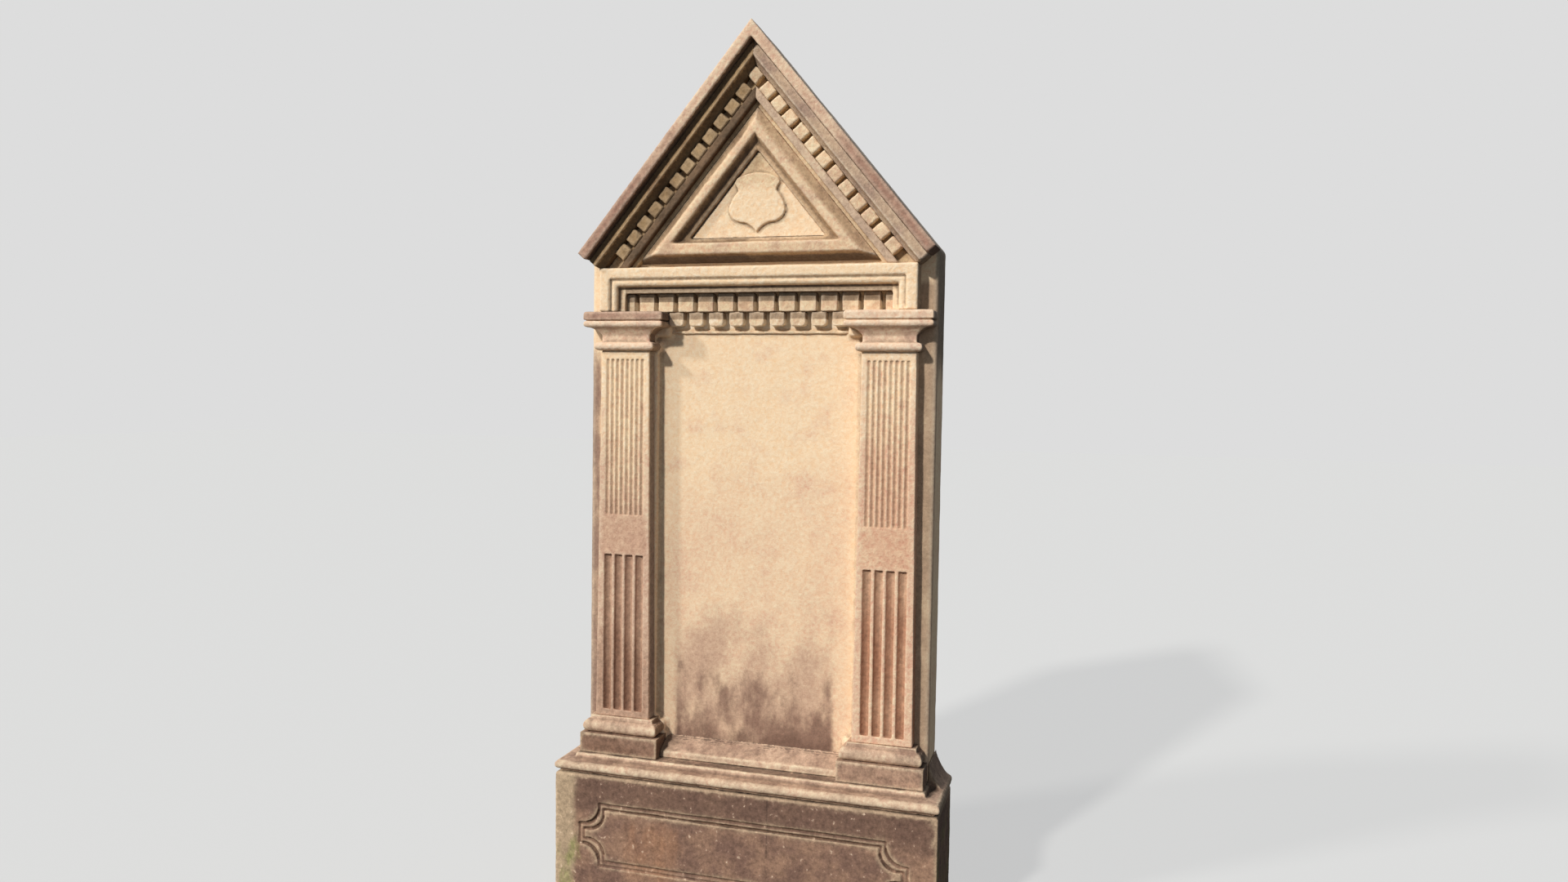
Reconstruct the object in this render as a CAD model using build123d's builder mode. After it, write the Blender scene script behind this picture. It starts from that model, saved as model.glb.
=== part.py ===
from build123d import *
import os
from math import atan2, cos, degrees, sin, tan

# A carved sandstone headstone, in millimetres: a gabled slab with fluted
# pilasters, dentilled entablature and pediment, standing on a panelled base.
# The front faces -Y, and the origin is under the middle of the base.

# Slab
slab_width = 760.0
slab_thickness = 102.0
gable_rise = 460.0
eave_rise = 33.0
panel_depth = 15.0

# Base block, its panel and its moulded top
die_side_reach = 35.0
die_height = 256.0
die_projection = 91.0
die_arris = 3.0
quirk_height = 6.0
quirk_depth = 8.0
torus_height = 19.0
torus_projection = 3.0
wash_rise = 54.0
wash_hollow = 6.0
base_fillet_height = 10.0
base_fillet_reach = 4.0
base_fillet_front_reach = 9.0
base_panel_margin = 55.0
base_panel_height = 140.0
panel_side = 48.0
panel_ear = 8.0
panel_band = 16.0
panel_groove = 4.0
panel_channel_depth = 7.0
panel_bead_height = 6.0
panel_bead_round = 3.0

# Pilasters, measured from the slab's edge and from its face
plinth_margin = 2.0
plinth_width = 180.0
plinth_height = 43.0
plinth_projection = 51.0
foot_torus_setback = 4.0
foot_torus_height = 28.0
foot_fillet_reach = 10.0
foot_fillet_height = 8.0
shaft_foot_width = 126.0
shaft_neck_width = 111.0
shaft_height = 800.0
shaft_projection = 29.0
astragal_width = 137.0
astragal_height = 18.0
neck_height = 14.0
cyma_height = 18.0
ovolo_height = 13.0
abacus_width = 183.0
abacus_height = 20.0
abacus_front_reach = 19.0
abacus_quirk = 2.5
abacus_wash = 4.0

# Flutes of the shafts
narrow_flute_count = 8
narrow_flute_pitch = 11.5
narrow_flute_radius = 3.7
narrow_flute_length = 338.0
narrow_flute_drop = 18.0
wide_flute_count = 4
wide_flute_pitch = 24.5
wide_flute_radius = 9.0
wide_flute_length = 342.0
wide_flute_rise = 15.0
wide_flute_stop = 13.0

# Sill under the inscription panel
sill_height = 42.0
sill_riser = 14.0
sill_projection = 30.0

# Entablature: a stepped frame round two staggered rows of dentils in the sunk panel
entablature_inset = 35.0
entablature_height = 93.0
frame_projection = 41.5
frame_band = 23.0
bead_band = 17.0
bead_projection = 37.0
bead_core_projection = 29.0
fascia_band = 13.0
fascia_projection = 23.0
dentil_pitch = 45.0
upper_dentil_width = 35.0
upper_dentil_projection = 25.0
lower_dentil_width = 32.0
lower_dentil_height = 30.0
lower_dentil_projection = 21.0
lower_dentil_round = 7.0
dentil_fillet_height = 15.0
dentil_fillet_riser = 4.0
dentil_fillet_projection = 6.0

# Raking cornice, measured square to the slope from its top edge
corona_overhang = 3.0
corona_band = 22.0
corona_projection = 70.0
cyma_band = 21.0
cyma_top_projection = 50.0
cyma_foot_projection = 56.0
rake_fillet_band = 10.0
rake_fillet_projection = 34.0
wall_projection = 17.0
rake_dentil_length = 29.5
rake_dentil_height = 26.0
rake_dentil_pitch = 38.0
rake_dentil_projection = 19.0
rake_dentil_arris = 2.0
apex_dentil_gap = 11.0
bed_fillet_band = 17.0
bed_fillet_projection = 16.0

# Tympanum: a bevelled triangular frame and a bead round a sunk field with a shield
tympanum_depth = 104.0
tympanum_bevel = 22.0
tympanum_foot_bevel = 28.0
tympanum_foot_lift = 8.0
tympanum_face = 13.0
tympanum_foot_face = 21.0
tympanum_splay = 10.0
tympanum_foot_splay = 6.0
tympanum_projection = 35.0
splay_projection = 14.0
tympanum_bead_band = 11.0
tympanum_bead_foot_band = 6.0
tympanum_bead_projection = 17.0
tympanum_bead_arris = 2.0
field_projection = 9.0
shield_relief = 6.0
shield_foot_gap = 12.0
shield_head_gap = 47.0
shield_side_gap = 41.0

# Levels up the stone and planes through it
torus_foot = die_height + quirk_height
torus_top = torus_foot + torus_height
base_top = torus_top + base_fillet_height
plinth_top = base_top + plinth_height
foot_torus_top = plinth_top + foot_torus_height
shaft_bottom = foot_torus_top + foot_fillet_height
shaft_top = shaft_bottom + shaft_height
astragal_top = shaft_top + astragal_height
neck_top = astragal_top + neck_height
cyma_top = neck_top + cyma_height
ovolo_top = cyma_top + ovolo_height
abacus_top = ovolo_top + abacus_height
entablature_top = abacus_top + entablature_height
slab_half = slab_width / 2
eave_level = entablature_top + eave_rise
apex_level = eave_level + gable_rise
base_depth = slab_thickness + die_projection + torus_projection
back_plane = base_depth / 2
slab_face = back_plane - slab_thickness
die_half = slab_half + die_side_reach
die_width = 2 * die_half
die_depth = slab_thickness + die_projection
base_panel_width = die_width - 2 * base_panel_margin
panel_notch = (base_panel_height - panel_side) / 2
plinth_half = plinth_width / 2
pilaster_middle = slab_half - plinth_margin - plinth_half
foot_torus_width = plinth_width - 2 * foot_torus_setback
foot_fillet_width = shaft_foot_width + 2 * foot_fillet_reach
reach = slab_width + die_width
frame_half = slab_half - entablature_inset
bead_half = frame_half - frame_band
fascia_half = bead_half - bead_band
opening_half = fascia_half - fascia_band
bead_top = entablature_top - frame_band
fascia_top = bead_top - bead_band
opening_top = fascia_top - fascia_band
dentil_half = pilaster_middle - abacus_width / 2
slope = atan2(gable_rise, slab_half)
front = Plane(origin=(0, slab_face, 0), x_dir=(1, 0, 0), z_dir=(0, -1, 0))
sunk_face = front.offset(-panel_depth)
slope_run = (cos(slope), 0, -sin(slope))
apex = (0, slab_face, apex_level)
slope_section = Plane(origin=apex, x_dir=(0, -1, 0), z_dir=slope_run)
slope_face = Plane(origin=apex, x_dir=slope_run, z_dir=(0, -1, 0))
corona_length = (slab_half + corona_overhang) / cos(slope)

pieces = {}


def course(profile, middle, half_width, projection, front_share=1.0):
    """A moulded course whose profile runs along the front and returns down both sides.

    The profile is a list of (reach, level, bulge): reach is measured out from
    half_width at the sides and from projection in front, where front_share scales it.
    """
    face = slab_face - projection
    back = back_plane if middle == 0 else slab_face
    right = Plane(origin=(middle + half_width, 0, 0), x_dir=(1, 0, 0), z_dir=(0, -1, 0))
    left = Plane(origin=(middle - half_width, 0, 0), x_dir=(-1, 0, 0), z_dir=(0, 1, 0))
    ahead = Plane(origin=(0, face, 0), x_dir=(0, -1, 0), z_dir=(-1, 0, 0))
    with BuildPart() as block:
        for view, share, inner in (
            (ahead, front_share, face - back),
            (right, 1.0, -reach),
            (left, 1.0, -reach),
        ):
            with BuildSketch(view):
                with BuildLine():
                    for (out, low, _), (end, high, bulge) in zip(profile, profile[1:]):
                        start = (out * share, low)
                        stop = (end * share, high)
                        if bulge:
                            SagittaArc(start, stop, -bulge * share)
                        else:
                            Line(start, stop)
                    foot = (profile[0][0] * share, profile[0][1])
                    head = (profile[-1][0] * share, profile[-1][1])
                    Polyline(head, (inner, head[1]), (inner, foot[1]), foot)
                make_face()
            keep = Mode.INTERSECT if block.part else Mode.ADD
            extrude(amount=reach, both=True, mode=keep)
    return block.part


def panel_ring(outer_inset, inner_inset, depth):
    """A ring that follows the base panel's notched outline, standing out from the die's face."""
    die_face = Plane(
        origin=(0, slab_face - die_projection, die_height / 2),
        x_dir=(1, 0, 0),
        z_dir=(0, -1, 0),
    )
    bite = panel_notch - panel_ear
    with BuildPart() as ring:
        with BuildSketch(die_face):
            for inset, mode in ((outer_inset, Mode.ADD), (inner_inset, Mode.SUBTRACT)):
                half = base_panel_width / 2 - inset
                rise = base_panel_height / 2 - inset
                with BuildLine():
                    for x in (1, -1):
                        for z in (1, -1):
                            notch_top = (x * (half - panel_notch), z * rise)
                            bite_top = (notch_top[0], z * (rise - panel_ear))
                            bite_foot = (x * (half - panel_ear), z * (rise - panel_notch))
                            notch_foot = (x * half, bite_foot[1])
                            Line((0, z * rise), notch_top)
                            Line(notch_top, bite_top)
                            RadiusArc(bite_top, bite_foot, -x * z * bite)
                            Line(bite_foot, notch_foot)
                            Line(notch_foot, (x * half, 0))
                make_face(mode=mode)
        extrude(amount=depth)
    return ring.part


def portal(outer_half, inner_half, outer_top, inner_top, profile):
    """A band up one side of the entablature, across its head and down the other, with a moulded face."""
    middle_half = (outer_half + inner_half) / 2
    middle_top = (outer_top + inner_top) / 2
    with BuildPart() as band:
        with BuildLine() as route:
            Polyline(
                (-middle_half, slab_face, abacus_top),
                (-middle_half, slab_face, middle_top),
                (middle_half, slab_face, middle_top),
                (middle_half, slab_face, abacus_top),
            )
        foot = Plane(origin=(-middle_half, slab_face, abacus_top), x_dir=(1, 0, 0), z_dir=(0, 0, 1))
        with BuildSketch(foot):
            with BuildLine():
                for (x, y, _), (end_x, end_y, bulge) in zip(profile, profile[1:]):
                    if bulge:
                        SagittaArc((x, -y), (end_x, -end_y), -bulge)
                    else:
                        Line((x, -y), (end_x, -end_y))
                Line((profile[-1][0], -profile[-1][1]), (profile[0][0], -profile[0][1]))
            make_face()
        sweep(path=route.wire(), transition=Transition.RIGHT)
    return band.part


def raking(points):
    """One slope's member: an outline of (projection, depth below the top edge) run down the slope."""
    with BuildPart() as member:
        with BuildSketch(slope_section):
            with BuildLine():
                for (out, deep, _), (end, under, bulge) in zip(points, points[1:]):
                    if bulge:
                        SagittaArc((out, deep), (end, under), -bulge)
                    else:
                        Line((out, deep), (end, under))
                Line(points[-1][:2], points[0][:2])
            make_face()
        extrude(amount=corona_length)
        split(bisect_by=Plane.YZ, keep=Keep.TOP)
        split(bisect_by=Plane.XY.offset(entablature_top), keep=Keep.TOP)
    return member.part


def keep_pair(name, right_part):
    """Keeps a right-hand piece and its mirror image on the left."""
    with BuildPart() as left_piece:
        mirror(right_part, about=Plane.YZ)
    pieces["left_" + name] = left_piece.part
    pieces["right_" + name] = right_part


def triangle(depth, foot):
    """Corners of a triangle that lies depth under the slopes and stands on the level foot."""
    peak = apex_level - depth / cos(slope)
    half = (peak - foot) * slab_half / gable_rise
    return (-half, foot), (half, foot), (0, peak)


# Base block with the sunk channel of its panel
with BuildPart() as base_die:
    with BuildSketch():
        with Locations((0, back_plane - die_depth / 2)):
            Rectangle(die_width, die_depth)
    extrude(amount=die_height)
    top_edges = base_die.faces().sort_by(Axis.Z)[-1].edges()
    chamfer(top_edges.sort_by(Axis.Y)[:-1], die_arris)
    add(panel_ring(0, panel_band, -panel_channel_depth), mode=Mode.SUBTRACT)
pieces["base_die"] = base_die.part

# Bead that lies in the channel
with BuildPart() as base_panel_bead:
    bead = panel_ring(panel_groove, panel_band - panel_groove, panel_bead_height)
    add(bead.moved(Location((0, panel_channel_depth, 0))))
    chamfer(base_panel_bead.faces().sort_by(Axis.Y)[0].edges(), panel_bead_round)
pieces["base_panel_bead"] = base_panel_bead.part

# Moulded top of the base: a torus over a quirk, then a fillet
torus_rise = torus_height / 2
pieces["base_torus"] = course(
    [
        (-quirk_depth, die_height, 0),
        (-quirk_depth, torus_foot, 0),
        (torus_projection - torus_rise, torus_foot, 0),
        (torus_projection - torus_rise, torus_top, torus_rise),
    ],
    0,
    die_half,
    die_projection,
)
pieces["base_fillet"] = course(
    [(0, torus_top, 0), (0, base_top, 0)],
    0,
    slab_half + base_fillet_reach,
    plinth_projection + base_fillet_front_reach,
)

# Hollow washes on the base, running up the sides of the slab
wash_edge = die_half + torus_projection - torus_rise
fillet_edge = slab_half + base_fillet_reach
with BuildPart() as base_wash:
    with BuildSketch(front):
        with BuildLine():
            Polyline(
                (slab_half, base_top + wash_rise),
                (slab_half, base_top),
                (fillet_edge, base_top),
                (fillet_edge, torus_top),
                (wash_edge, torus_top),
            )
            SagittaArc((wash_edge, torus_top), (slab_half, base_top + wash_rise), wash_hollow)
        make_face()
    extrude(amount=-slab_thickness)
keep_pair("base_wash", base_wash.part)

# Gabled slab, sunk between the pilasters for the inscription panel and the dentils over it
with BuildPart() as slab:
    with BuildSketch(front):
        with BuildLine():
            Polyline(
                (-slab_half, base_top),
                (slab_half, base_top),
                (slab_half, eave_level),
                (0, apex_level),
                (-slab_half, eave_level),
                close=True,
            )
        make_face()
    extrude(amount=-slab_thickness)
    with BuildSketch(front):
        for width, low, high in (
            (plinth_width, base_top, plinth_top),
            (foot_torus_width, plinth_top, foot_torus_top),
            (foot_fillet_width, foot_torus_top, shaft_bottom),
            (shaft_foot_width, shaft_bottom, shaft_top),
            (astragal_width, shaft_top, astragal_top),
            (shaft_neck_width, astragal_top, neck_top),
            (abacus_width, neck_top, abacus_top),
        ):
            with Locations((0, low)):
                Rectangle(2 * pilaster_middle - width, high - low, align=(Align.CENTER, Align.MIN))
        with Locations((0, abacus_top)):
            Rectangle(2 * opening_half, opening_top - abacus_top, align=(Align.CENTER, Align.MIN))
    extrude(amount=-panel_depth, mode=Mode.SUBTRACT)
pieces["slab"] = slab.part

# Sloping sill between the plinths, at the foot of the inscription panel
with BuildPart() as panel_sill:
    with BuildSketch(Plane(origin=(0, slab_face, base_top), x_dir=(0, -1, 0), z_dir=(-1, 0, 0))):
        with BuildLine():
            Polyline(
                (-panel_depth, 0),
                (sill_projection, 0),
                (sill_projection, sill_riser),
                (-panel_depth, sill_height),
                close=True,
            )
        make_face()
    extrude(amount=pilaster_middle - plinth_half, both=True)
pieces["panel_sill"] = panel_sill.part

# Pilaster plinths and the torus and fillet on them
keep_pair(
    "plinth",
    course([(0, base_top, 0), (0, plinth_top, 0)], pilaster_middle, plinth_half, plinth_projection),
)
foot_round = foot_torus_height / 2
foot_reach = (foot_torus_width - foot_fillet_width) / 2
foot_projection = plinth_projection - (plinth_width - foot_fillet_width) / 2
keep_pair(
    "shaft_base",
    course(
        [
            (foot_reach - foot_round, plinth_top, 0),
            (foot_reach - foot_round, foot_torus_top, foot_round),
            (0, foot_torus_top, 0),
            (0, shaft_bottom, 0),
        ],
        pilaster_middle,
        foot_fillet_width / 2,
        foot_projection,
    ),
)

# Tapered shafts with narrow flutes above and wide, stopped flutes below
with BuildPart() as wide_flute:
    stop_plane = Plane(
        origin=(0, 0, 0),
        x_dir=(1, 0, 0),
        z_dir=(0, wide_flute_stop, wide_flute_radius),
    )
    with BuildSketch():
        Circle(wide_flute_radius)
    extrude(amount=wide_flute_length)
    split(bisect_by=stop_plane, keep=Keep.TOP)
with BuildPart() as shaft:
    with BuildSketch(front):
        with Locations((pilaster_middle, shaft_bottom)):
            Trapezoid(
                shaft_foot_width,
                shaft_height,
                degrees(atan2(shaft_height, (shaft_foot_width - shaft_neck_width) / 2)),
                align=(Align.CENTER, Align.MIN),
            )
    extrude(amount=shaft_projection)
    shaft_face = slab_face - shaft_projection
    narrow_top = shaft_top - narrow_flute_drop
    with BuildSketch(Plane.XY.offset(narrow_top)):
        with Locations((pilaster_middle, shaft_face)):
            with GridLocations(narrow_flute_pitch, 0, narrow_flute_count, 1):
                Circle(narrow_flute_radius)
    extrude(amount=-narrow_flute_length, mode=Mode.SUBTRACT)
    with Locations((pilaster_middle, shaft_face, shaft_bottom + wide_flute_rise)):
        with GridLocations(wide_flute_pitch, 0, wide_flute_count, 1):
            add(wide_flute.part, mode=Mode.SUBTRACT)
keep_pair("shaft", shaft.part)

# Capitals: astragal and neck, then cyma and ovolo, then abacus
neck_half = shaft_neck_width / 2
astragal_round = astragal_height / 2
astragal_reach = (astragal_width - shaft_neck_width) / 2
keep_pair(
    "necking",
    course(
        [
            (astragal_reach - astragal_round, shaft_top, 0),
            (astragal_reach - astragal_round, astragal_top, astragal_round),
            (0, astragal_top, 0),
            (0, neck_top, 0),
        ],
        pilaster_middle,
        neck_half,
        shaft_projection,
    ),
)
abacus_reach = (abacus_width - shaft_neck_width) / 2
capital_front_share = abacus_front_reach / abacus_reach
ovolo_round = ovolo_height / 2
ovolo_reach = abacus_reach - ovolo_round
keep_pair(
    "echinus",
    course(
        [
            (0, neck_top, 0),
            (ovolo_reach, cyma_top, -cyma_height / 4),
            (ovolo_reach, ovolo_top, ovolo_round),
        ],
        pilaster_middle,
        neck_half,
        shaft_projection,
        capital_front_share,
    ),
)
keep_pair(
    "abacus",
    course(
        [
            (ovolo_reach, ovolo_top, 0),
            (ovolo_reach, ovolo_top + abacus_quirk, 0),
            (abacus_reach, ovolo_top + abacus_quirk, 0),
            (abacus_reach, abacus_top - abacus_wash, 0),
            (abacus_reach - abacus_wash, abacus_top, 0),
        ],
        pilaster_middle,
        neck_half,
        shaft_projection,
        capital_front_share,
    ),
)

# Entablature frame: a flat band, a bead and a fascia, each inside the last
for name, outer_half, outer_top, band, edge, face, bulge in (
    ("entablature_frame", frame_half, entablature_top, frame_band, frame_projection, frame_projection, 0),
    ("entablature_bead", bead_half, bead_top, bead_band, bead_core_projection, bead_core_projection, 1),
    ("entablature_fascia", fascia_half, fascia_top, fascia_band, fascia_projection, fascia_projection, 0),
):
    swell = bulge * (bead_projection - bead_core_projection)
    pieces[name] = portal(
        outer_half,
        outer_half - band,
        outer_top,
        outer_top - band,
        [(-band / 2, 0, 0), (-band / 2, edge, 0), (band / 2, face, swell), (band / 2, 0, 0)],
    )

# Upper dentils, with the narrower ends of the row
gap_width = dentil_pitch - upper_dentil_width
gap_count = int(2 * opening_half / dentil_pitch) + 1
opening_height = opening_top - abacus_top
with BuildPart() as upper_dentils:
    with BuildSketch(sunk_face):
        with Locations((0, abacus_top + opening_height / 2)):
            Rectangle(2 * opening_half, opening_height)
            with GridLocations(dentil_pitch, 0, gap_count, 1):
                Rectangle(gap_width, opening_height, mode=Mode.SUBTRACT)
    extrude(amount=upper_dentil_projection)
pieces["upper_dentils"] = upper_dentils.part

# Lower dentils with rounded feet, and the sloping fillet under them
lower_dentil_count = int((2 * dentil_half - lower_dentil_width) / dentil_pitch) + 1
with BuildPart() as lower_dentils:
    with BuildSketch(sunk_face):
        with Locations((0, abacus_top - lower_dentil_height / 2)):
            with GridLocations(dentil_pitch, 0, lower_dentil_count, 1):
                Rectangle(lower_dentil_width, lower_dentil_height)
    extrude(amount=lower_dentil_projection)
    fillet(lower_dentils.edges().filter_by(Axis.Y).group_by(Axis.Z)[0], lower_dentil_round)
pieces["lower_dentils"] = lower_dentils.part
fillet_start = (0, slab_face + panel_depth, abacus_top - lower_dentil_height - dentil_fillet_height)
with BuildPart() as dentil_fillet:
    with BuildSketch(Plane(origin=fillet_start, x_dir=(0, -1, 0), z_dir=(-1, 0, 0))):
        with BuildLine():

            Polyline(
                (0, 0),
                (dentil_fillet_projection, 0),
                (dentil_fillet_projection, dentil_fillet_riser),
                (0, dentil_fillet_height),
                close=True,
            )
        make_face()
    extrude(amount=dentil_half, both=True)
pieces["dentil_fillet"] = dentil_fillet.part

# Raking cornice down each slope: corona, cyma, hollow fillet and bed fillet
cyma_edge = corona_band + cyma_band
wall_edge = cyma_edge + rake_fillet_band
bed_edge = wall_edge + rake_dentil_height
keep_pair(
    "corona",
    raking([(0, 0, 0), (corona_projection, 0, 0), (corona_projection, corona_band, 0), (0, corona_band, 0)]),
)
keep_pair(
    "raking_cyma",
    raking(
        [
            (0, corona_band, 0),
            (cyma_top_projection, corona_band, 0),
            (cyma_foot_projection, cyma_edge, -cyma_band / 8),
            (0, cyma_edge, 0),
        ]
    ),
)
keep_pair(
    "raking_fillet",
    raking(
        [
            (0, cyma_edge, 0),
            (cyma_foot_projection, cyma_edge, 0),
            (rake_fillet_projection, wall_edge, -rake_fillet_band / 4),
            (0, wall_edge, 0),
        ]
    ),
)
bed_face = wall_projection + bed_fillet_projection
keep_pair(
    "bed_fillet",
    raking(
        [
            (wall_projection, bed_edge, 0),
            (bed_face, bed_edge, 0),
            (bed_face, bed_edge + bed_fillet_band, 0),
            (wall_projection, bed_edge + bed_fillet_band, 0),
        ]
    ),
)

# Wall of the pediment, between the cornice and the tympanum
with BuildPart() as pediment_wall:
    with BuildSketch(front):
        Polygon(*triangle(wall_edge, entablature_top), align=None)
        Polygon(*triangle(tympanum_depth, entablature_top), align=None, mode=Mode.SUBTRACT)
    extrude(amount=wall_projection)
pieces["pediment_wall"] = pediment_wall.part

# Dentils down each slope, and the one that fills the peak
diamond_height = rake_dentil_height / cos(slope)
diamond_half = diamond_height / 2 / tan(slope)
diamond_run = max(bed_edge * tan(slope), wall_edge * tan(slope) + diamond_half / cos(slope))
first_dentil_run = diamond_run + apex_dentil_gap + rake_dentil_length / 2
last_run = (apex_level - entablature_top - bed_edge * cos(slope)) / sin(slope) - rake_dentil_length / 2
rake_dentil_count = int((last_run - first_dentil_run) / rake_dentil_pitch) + 1
dentil_stack = rake_dentil_pitch * (rake_dentil_count - 1)
with BuildPart() as rake_dentils:
    with BuildSketch(slope_face.offset(wall_projection)):
        with Locations((first_dentil_run + dentil_stack / 2, -(wall_edge + bed_edge) / 2)):
            with GridLocations(rake_dentil_pitch, 0, rake_dentil_count, 1):
                Rectangle(rake_dentil_length, rake_dentil_height)
    extrude(amount=rake_dentil_projection)
    chamfer(rake_dentils.faces().group_by(Axis.Y)[0].edges(), rake_dentil_arris)
keep_pair("raking_dentils", rake_dentils.part)
with BuildPart() as apex_dentil:
    peak = apex_level - wall_edge / cos(slope)
    with BuildSketch(front.offset(wall_projection)):
        Polygon(
            (0, peak),
            (-diamond_half, peak - diamond_height / 2),
            (0, peak - diamond_height),
            (diamond_half, peak - diamond_height / 2),
            align=None,
        )
    extrude(amount=rake_dentil_projection)
    chamfer(apex_dentil.faces().sort_by(Axis.Y)[0].edges(), rake_dentil_arris)
pieces["apex_dentil"] = apex_dentil.part

# Tympanum frame, bevelled outside, undercut at its foot and splayed inside
face_depth = tympanum_depth + tympanum_bevel
face_foot = entablature_top + tympanum_foot_bevel
splay_depth = face_depth + tympanum_face
splay_foot = face_foot + tympanum_foot_face
bead_depth = splay_depth + tympanum_splay
bead_foot = splay_foot + tympanum_foot_splay
field_depth = bead_depth + tympanum_bead_band
field_foot = bead_foot + tympanum_bead_foot_band
with BuildPart() as tympanum_frame:
    with BuildSketch(front):
        Polygon(*triangle(tympanum_depth, entablature_top), align=None)
    extrude(amount=wall_projection)
    with BuildSketch(front.offset(wall_projection)):
        Polygon(*triangle(tympanum_depth, entablature_top), align=None)
    with BuildSketch(front.offset(tympanum_projection)):
        Polygon(*triangle(face_depth, face_foot), align=None)
    loft()
    with BuildSketch(front):
        Polygon(*triangle(bead_depth, bead_foot), align=None)
    extrude(amount=splay_projection, mode=Mode.SUBTRACT)
    with BuildSketch(front.offset(splay_projection)):
        Polygon(*triangle(bead_depth, bead_foot), align=None)
    with BuildSketch(front.offset(tympanum_projection)):
        Polygon(*triangle(splay_depth, splay_foot), align=None)
    loft(mode=Mode.SUBTRACT)
    with BuildSketch(Plane(origin=(0, slab_face, entablature_top), x_dir=(0, -1, 0), z_dir=(-1, 0, 0))):
        with BuildLine():
            Polyline(
                (0, 0),
                (tympanum_projection, 0),
                (tympanum_projection, tympanum_foot_bevel),
                (0, tympanum_foot_lift),
                close=True,

            )
        make_face()
    extrude(amount=slab_half, both=True, mode=Mode.SUBTRACT)
pieces["tympanum_frame"] = tympanum_frame.part

# Bead round the field, with its arrises taken off
with BuildPart() as tympanum_bead:
    with BuildSketch(front):
        Polygon(*triangle(bead_depth, bead_foot), align=None)
        Polygon(*triangle(field_depth, field_foot), align=None, mode=Mode.SUBTRACT)
    extrude(amount=tympanum_bead_projection)
    chamfer(tympanum_bead.faces().sort_by(Axis.Y)[0].edges(), tympanum_bead_arris)
pieces["tympanum_bead"] = tympanum_bead.part

# Sunk field, and the shield carved on it with its curling foot
with BuildPart() as tympanum_field:
    with BuildSketch(front):
        Polygon(*triangle(field_depth, field_foot), align=None)
    extrude(amount=field_projection)
pieces["tympanum_field"] = tympanum_field.part
shield_half_shares = [
    (0, 0, 0),
    (0.5, 0.17, -0.06),
    (1, 0.37, 0.12),
    (0.67, 0.69, 0.06),
    (0.8, 0.82, -0.03),
    (0.7, 0.92, 0.02),
    (0, 1, 0.04),

]
shield_widest_share = shield_half_shares[2][1]
field_peak = triangle(field_depth, field_foot)[2][1]
shield_level = field_foot + shield_foot_gap
shield_height = field_peak - shield_head_gap - shield_level
shield_rise = shield_level + shield_widest_share * shield_height
shield_half_width = (field_peak - shield_rise) / tan(slope) - shield_side_gap
with BuildPart() as shield:
    shield_foot = (0, slab_face - field_projection, shield_level)
    with BuildSketch(Plane(origin=shield_foot, x_dir=(1, 0, 0), z_dir=(0, -1, 0))):
        with BuildLine():
            for (x, z, _), (end_x, end_z, bulge) in zip(shield_half_shares, shield_half_shares[1:]):
                start = (x * shield_half_width, z * shield_height)
                stop = (end_x * shield_half_width, end_z * shield_height)
                SagittaArc(start, stop, -bulge * shield_half_width)
            mirror(about=Plane.YZ)
        make_face()
    extrude(amount=shield_relief)
pieces["shield"] = shield.part

os.makedirs("parts", exist_ok=True)
for name, piece in pieces.items():
    piece.label = name
    export_step(piece, "parts/" + name + ".step")
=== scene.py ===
import logging
from dataclasses import dataclass, field
from enum import Enum
from math import cos, radians, sin
from typing import Optional, Union

import bpy
import numpy as np
from mathutils import Matrix, Vector
from mathutils.bvhtree import BVHTree


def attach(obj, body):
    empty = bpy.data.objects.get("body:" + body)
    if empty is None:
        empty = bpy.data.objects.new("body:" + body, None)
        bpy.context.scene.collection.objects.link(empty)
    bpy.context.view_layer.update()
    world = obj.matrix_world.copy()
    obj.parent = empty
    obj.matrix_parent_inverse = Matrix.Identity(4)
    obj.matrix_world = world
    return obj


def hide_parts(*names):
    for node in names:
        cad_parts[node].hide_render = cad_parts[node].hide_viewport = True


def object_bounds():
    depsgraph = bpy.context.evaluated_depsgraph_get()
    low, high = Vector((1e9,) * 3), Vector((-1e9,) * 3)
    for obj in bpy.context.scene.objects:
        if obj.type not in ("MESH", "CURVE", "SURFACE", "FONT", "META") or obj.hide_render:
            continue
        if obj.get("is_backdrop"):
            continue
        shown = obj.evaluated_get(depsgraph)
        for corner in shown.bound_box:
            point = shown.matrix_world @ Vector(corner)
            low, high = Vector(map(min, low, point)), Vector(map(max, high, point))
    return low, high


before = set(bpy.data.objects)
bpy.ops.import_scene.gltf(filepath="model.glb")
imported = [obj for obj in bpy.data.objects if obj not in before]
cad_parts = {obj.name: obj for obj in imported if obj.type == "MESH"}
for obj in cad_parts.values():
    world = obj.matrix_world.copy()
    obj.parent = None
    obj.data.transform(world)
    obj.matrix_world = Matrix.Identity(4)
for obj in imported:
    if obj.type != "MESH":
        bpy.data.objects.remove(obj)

# A weathered sandstone headstone: the frame's crisp members are copied, worn
# down as carved stone wears, and stained as rain, soil and shade stain it.

log = logging.getLogger("headstone")

MM = 0.001
BODY = "root"

# Sockets of the Mix node when it mixes colours
MIX = {"data_type": "RGBA"}
SHARE, UNDER, OVER, MIXED = 0, 6, 7, 2
SMOOTH = {"interpolation_type": "SMOOTHSTEP"}
# Way that a face turns for lichen, about halfway from the sky to the back
UP_AND_BACK = (0.0, 0.7, 0.7)
# Attributes of each worn mesh that its finish reads
HOLLOW, SHADED_SHARE = "hollow", "shaded_share"

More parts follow.
